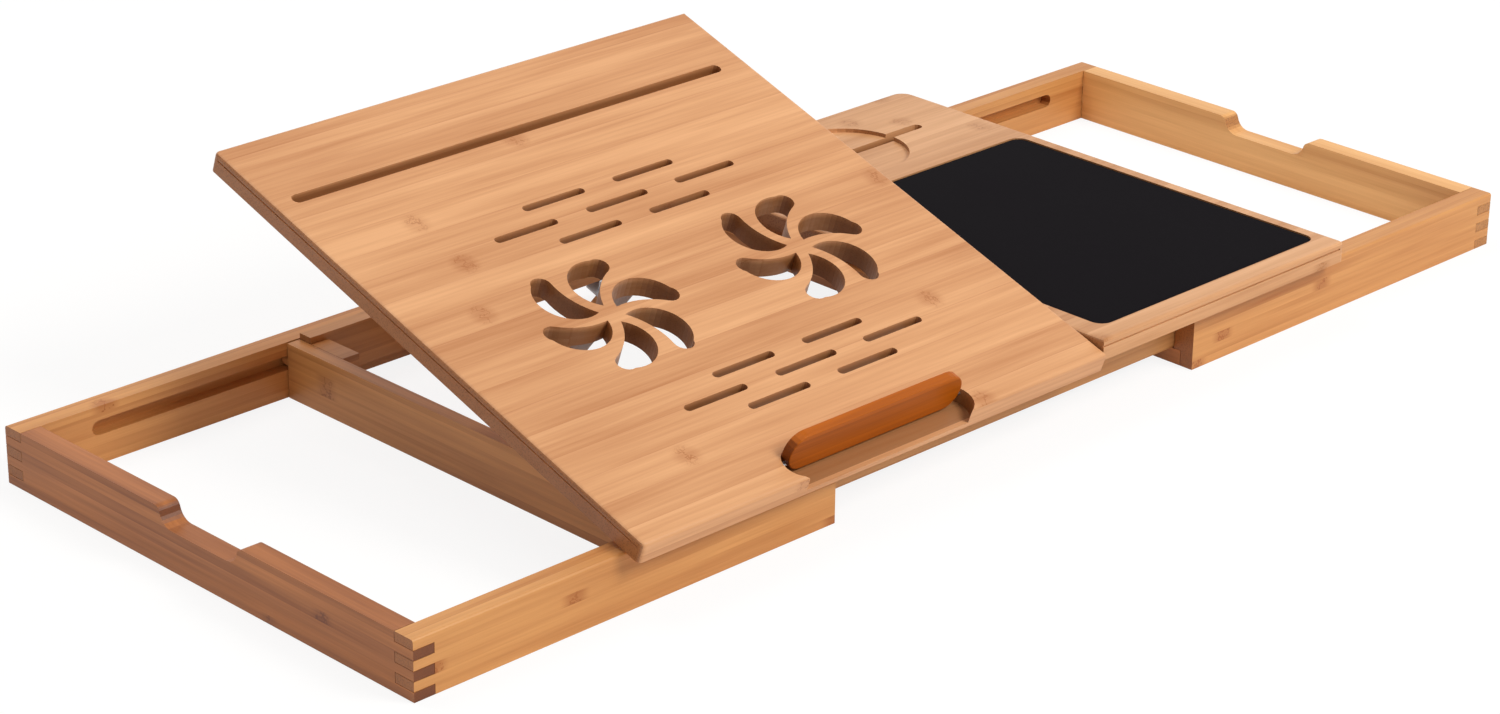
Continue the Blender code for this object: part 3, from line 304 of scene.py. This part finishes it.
        # The mask leaves out the underside and the outer edges of the board.
        for value, test, bound in ((parts.outputs[2], "GREATER_THAN", -0.5),
                                   (run, "GREATER_THAN", low[0]), (run, "LESS_THAN", high[0]),
                                   (cross, "GREATER_THAN", low[1]), (cross, "LESS_THAN", high[1])):
            inside = add(tree, "ShaderNodeMath", [(0, value)], operation=test, in_1=bound)
            painted_recess_shade = add(tree, "ShaderNodeMath", [(0, painted_recess_shade.outputs[0]), (1, inside.outputs[0])],
                         operation="MULTIPLY")
        whole = add(tree, "ShaderNodeMix", [(0, painted_recess_shade.outputs[0]), (6, whole.outputs[2])],
                    data_type="RGBA")
        # The brown of the painted recess shade.
        whole.inputs[7].default_value = linear("7A481A")
    rough = add(tree, "ShaderNodeMapRange", [("Value", streak.outputs[0])], in_3=0.36, in_4=0.52)
    height = add(tree, "ShaderNodeMath", [(0, fibre.outputs[0]), (1, seam.outputs[0])],
                 operation="SUBTRACT")
    bump = add(tree, "ShaderNodeBump", [("Height", height.outputs[0])],
               in_Strength=0.10, in_Distance=0.0004)
    shader = add(tree, "ShaderNodeBsdfPrincipled",
                 [("Base Color", whole.outputs[2]), ("Roughness", rough.outputs[0]),
                  ("Normal", bump.outputs[0])],
                 in_IOR=1.5, in_Specular_IOR_Level=sheen)
    add(tree, "ShaderNodeOutputMaterial", [("Surface", shader.outputs[0])])
    return made


def dress(names, material):
    """Give CAD nodes a material in every slot."""
    for name in names:
        for slot in nodes[name].material_slots:
            slot.material = material


# Sliding frames: rails and end panels sawn from warm laminated bamboo, joined with box fingers.
# The rails run along X and the end panels along Y. The left panel is darker, from its darker stock
# and from painted shade on its outer face; the right panel is paler, from paler stock and painted
# light.
# Their strips are a little narrower than those of the boards.
frame_strips = 0.0178
rail_bamboo = bamboo("satin_bamboo_rail", "DC9F5F", "AA642C", "X",
                     seed=3.0, strips=frame_strips, mark=0.5)
# Darker stock, with painted shade: the left end's outer face stands in shade.
stock_and_shade_bamboo = bamboo("satin_bamboo_left_end_and_painted_shade", "C47A3E", "763C16", "Y",
                     seed=7.0, strips=frame_strips)
# Paler stock, with painted light: the right end's inner face is lit.
stock_and_light_bamboo = bamboo("satin_bamboo_right_end_and_painted_light", "F2BA78", "CC8A4A", "Y",
                      seed=9.0, strips=frame_strips)
dress(["left_front_rail", "left_back_rail", "right_front_rail", "right_back_rail"], rail_bamboo)
dress(["left_end_panel", "left_stretcher", "right_stretcher"], stock_and_shade_bamboo)
dress(["right_end_panel"], stock_and_light_bamboo)

# Centre tray: cross members, inner rails, corner blocks, divider and notched beam, glued up from
# the same stock and left a little plainer because they sit under the boards.
inner_long = bamboo("satin_bamboo_inner_long", "DDA46A", "A56A36", "X", seed=11.0)
inner_across = bamboo("satin_bamboo_inner_across", "D6995C", "94582A", "Y", seed=17.0)
dress(["front_inner_rail", "back_inner_rail"], inner_long)
dress(["left_cross_member", "right_cross_member", "board_divider", "rack_beam"], inner_across)
for side in ("left", "right"):
    for end in ("front", "back"):
        dress([f"{side}_{end}_corner_block"], inner_long)
        dress([f"{side}_{end}_guide_pin"], inner_across)

# Fixed panel: the right board, screwed down flat, with the cup ring and the phone slot.
# The painted recess shade starts deeper here, so that the floor of the cup ring, 2.6 mm down, stays
# pale.
panel_low, panel_high = (Vector(corner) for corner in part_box("fixed_panel"))
panel_rim = 0.003
panel_joint_rim = 0.002
recess_shade_drop = 0.0022
panel_cuts = (
    (panel_low.x + panel_joint_rim, panel_low.y + panel_rim),
    (panel_high.x - panel_rim, panel_high.y - panel_rim),
    panel_high.z - recess_shade_drop,
)
panel_bamboo = bamboo("satin_bamboo_panel", "E0AB7C", "B07646", "X", seed=23.0, shaded_recess=panel_cuts)
dress(["fixed_panel"], panel_bamboo)

# Tilting board: one wide laminated board of 364.5 x 373 x 12.8 mm, hinged along its front edge.
# Its pattern and its mask of painted recess shade turn with it, measured from the hinge axis,
# which lies 21.5 mm behind the front edge. The mask ends about 3 mm inside the board's edges.
tilt = math.radians(18.66)
tilt_axis = (-0.127, -0.1638115, 0.039)
board_cuts = ((-0.179, -0.0185), (0.179, 0.348), 0.0128)
board_bamboo = bamboo("satin_bamboo_board", "E2AA79", "B07040", "X", turned=tilt, about=tilt_axis,
                      seed=31.0, shaded_recess=board_cuts)
dress(["tilting_board"], board_bamboo)

# Stop bar: a plate of darker, redder bamboo with round ends, which keeps a laptop from sliding.
# It is folded up out of its pocket at the front of the board.
bar_bamboo = bamboo("satin_bamboo_bar", "BA600C", "7E3A05", "X", turned=tilt, about=tilt_axis,
                    seed=41.0, sheen=0.16)
dress(["stop_bar"], bar_bamboo)

# Tilt prop: a short wooden leg under the board, cut from the same stock as the tray.
# Its foot stands just above the notched beam.
prop_bamboo = bamboo("satin_bamboo_prop", "DDA46A", "A56A36", "Y", seed=43.0)
dress(["tilt_prop"], prop_bamboo)

# Hinges, brackets and pins: zinc plated steel, drawn and stamped, with faint brushing.
# Most of them are hidden under the boards. The drawing marks run along X, 0.25 mm apart.
brush_stretch = (200.0, 4000.0, 4000.0)
zinc, tree = new_material("zinc_plated_steel")
place = add(tree, "ShaderNodeTexCoord")
long = add(tree, "ShaderNodeMapping", [("Vector", place.outputs["Object"])])
long.inputs["Scale"].default_value = brush_stretch
brush = add(tree, "ShaderNodeTexNoise", [("Vector", long.outputs[0])],
            in_Scale=1.0, in_Detail=2.0)
rough = add(tree, "ShaderNodeMapRange", [("Value", brush.outputs[0])], in_3=0.28, in_4=0.45)
shine = add(tree, "ShaderNodeMix", [(0, brush.outputs[0])], data_type="RGBA")
shine.inputs[6].default_value = linear("C9CBCF")
shine.inputs[7].default_value = linear("A6A9AE")
shader = add(tree, "ShaderNodeBsdfPrincipled",
             [("Base Color", shine.outputs[2]), ("Roughness", rough.outputs[0])], in_Metallic=1.0)
add(tree, "ShaderNodeOutputMaterial", [("Surface", shader.outputs[0])])
steel_names = [name for name in nodes if "hinge" in name or "bracket" in name]
dress(steel_names + ["prop_pin", "left_stop_bar_pin", "right_stop_bar_pin"], zinc)

# Mouse pad: a 2 mm pad of thin foam with black leathercloth drawn over its edge, laid in its
# recess. It has round corners, a rolled rim, and a face that crowns by a fifth of a millimetre.
pad_corner = 0.008
pad_rim = 0.0008
pad_low, pad_high = (Vector(corner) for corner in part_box("mouse_pad"))
pad_middle = (pad_low + pad_high) / 2
pad_size = pad_high - pad_low
deselect()
bpy.ops.mesh.primitive_cube_add(size=1.0, location=pad_middle, scale=pad_size)
pad = bpy.context.object
pad.name = "leathercloth_pad"
bpy.ops.object.transform_apply(location=True, rotation=True, scale=True)


def pick_edges(piece, wanted):
    """Select the edges of a piece whose two ends pass a test, and open it in edit mode."""
    bpy.ops.object.mode_set(mode="EDIT")
    bpy.ops.mesh.select_mode(type="EDGE")
    bpy.ops.mesh.select_all(action="DESELECT")
    bpy.ops.object.mode_set(mode="OBJECT")
    ends = piece.data.vertices
    for edge in piece.data.edges:
        edge.select = wanted(ends[edge.vertices[0]].co, ends[edge.vertices[1]].co)
    bpy.ops.object.mode_set(mode="EDIT")


pick_edges(pad, lambda a, b: abs(a.z - b.z) > pad_size.z / 2)
bpy.ops.mesh.bevel(offset=pad_corner, segments=10, affect="EDGES")
bpy.ops.object.mode_set(mode="OBJECT")
pick_edges(pad, lambda a, b: min(a.z, b.z) > pad_middle.z)
bpy.ops.mesh.bevel(offset=pad_rim, segments=4, affect="EDGES")
bpy.ops.mesh.select_mode(type="FACE")
bpy.ops.mesh.select_all(action="DESELECT")
bpy.ops.object.mode_set(mode="OBJECT")
for face in pad.data.polygons:
    wide_enough = face.area > pad_size.x * pad_size.y / 2
    face.select = wide_enough and face.center.z > pad_middle.z
bpy.ops.object.mode_set(mode="EDIT")
crown_steps = ((0.0015, 0.00012), (0.0025, 0.0001))
for width, rise in crown_steps:
    bpy.ops.mesh.inset(thickness=width)
    bpy.ops.transform.translate(value=(0, 0, rise))
bpy.ops.object.mode_set(mode="OBJECT")
bpy.ops.object.shade_smooth_by_angle(angle=math.radians(40))

# Black leathercloth: vinyl skin pressed with a fine grain, so it is dull, with hardly any gloss.
# The cells of the grain are about 0.9 mm wide, a little coarser than real so that they show.
cell_scale = 1100.0
cloth, tree = new_material("black_leathercloth")
place = add(tree, "ShaderNodeTexCoord")
cells = add(tree, "ShaderNodeTexVoronoi", [("Vector", place.outputs["Object"])],
            feature="DISTANCE_TO_EDGE", in_Scale=cell_scale)
haze = add(tree, "ShaderNodeTexNoise", [("Vector", place.outputs["Object"])],
           in_Scale=9.0, in_Detail=3.0)
tint = add(tree, "ShaderNodeMix", [(0, haze.outputs[0])], data_type="RGBA")
tint.inputs[6].default_value = linear("0B090C")
tint.inputs[7].default_value = linear("120F13")
bump = add(tree, "ShaderNodeBump", [("Height", cells.outputs["Distance"])],
           in_Strength=0.2, in_Distance=0.0003)
rough = add(tree, "ShaderNodeMapRange", [("Value", haze.outputs[0])], in_3=0.66, in_4=0.8)
shader = add(tree, "ShaderNodeBsdfPrincipled",
             [("Base Color", tint.outputs[2]), ("Roughness", rough.outputs[0]),
              ("Normal", bump.outputs[0])],
             in_Specular_IOR_Level=0.03)
add(tree, "ShaderNodeOutputMaterial", [("Surface", shader.outputs[0])])
pad.data.materials.append(cloth)
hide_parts("mouse_pad")
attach(pad, "tray")

scene.view_settings.view_transform = "Standard"
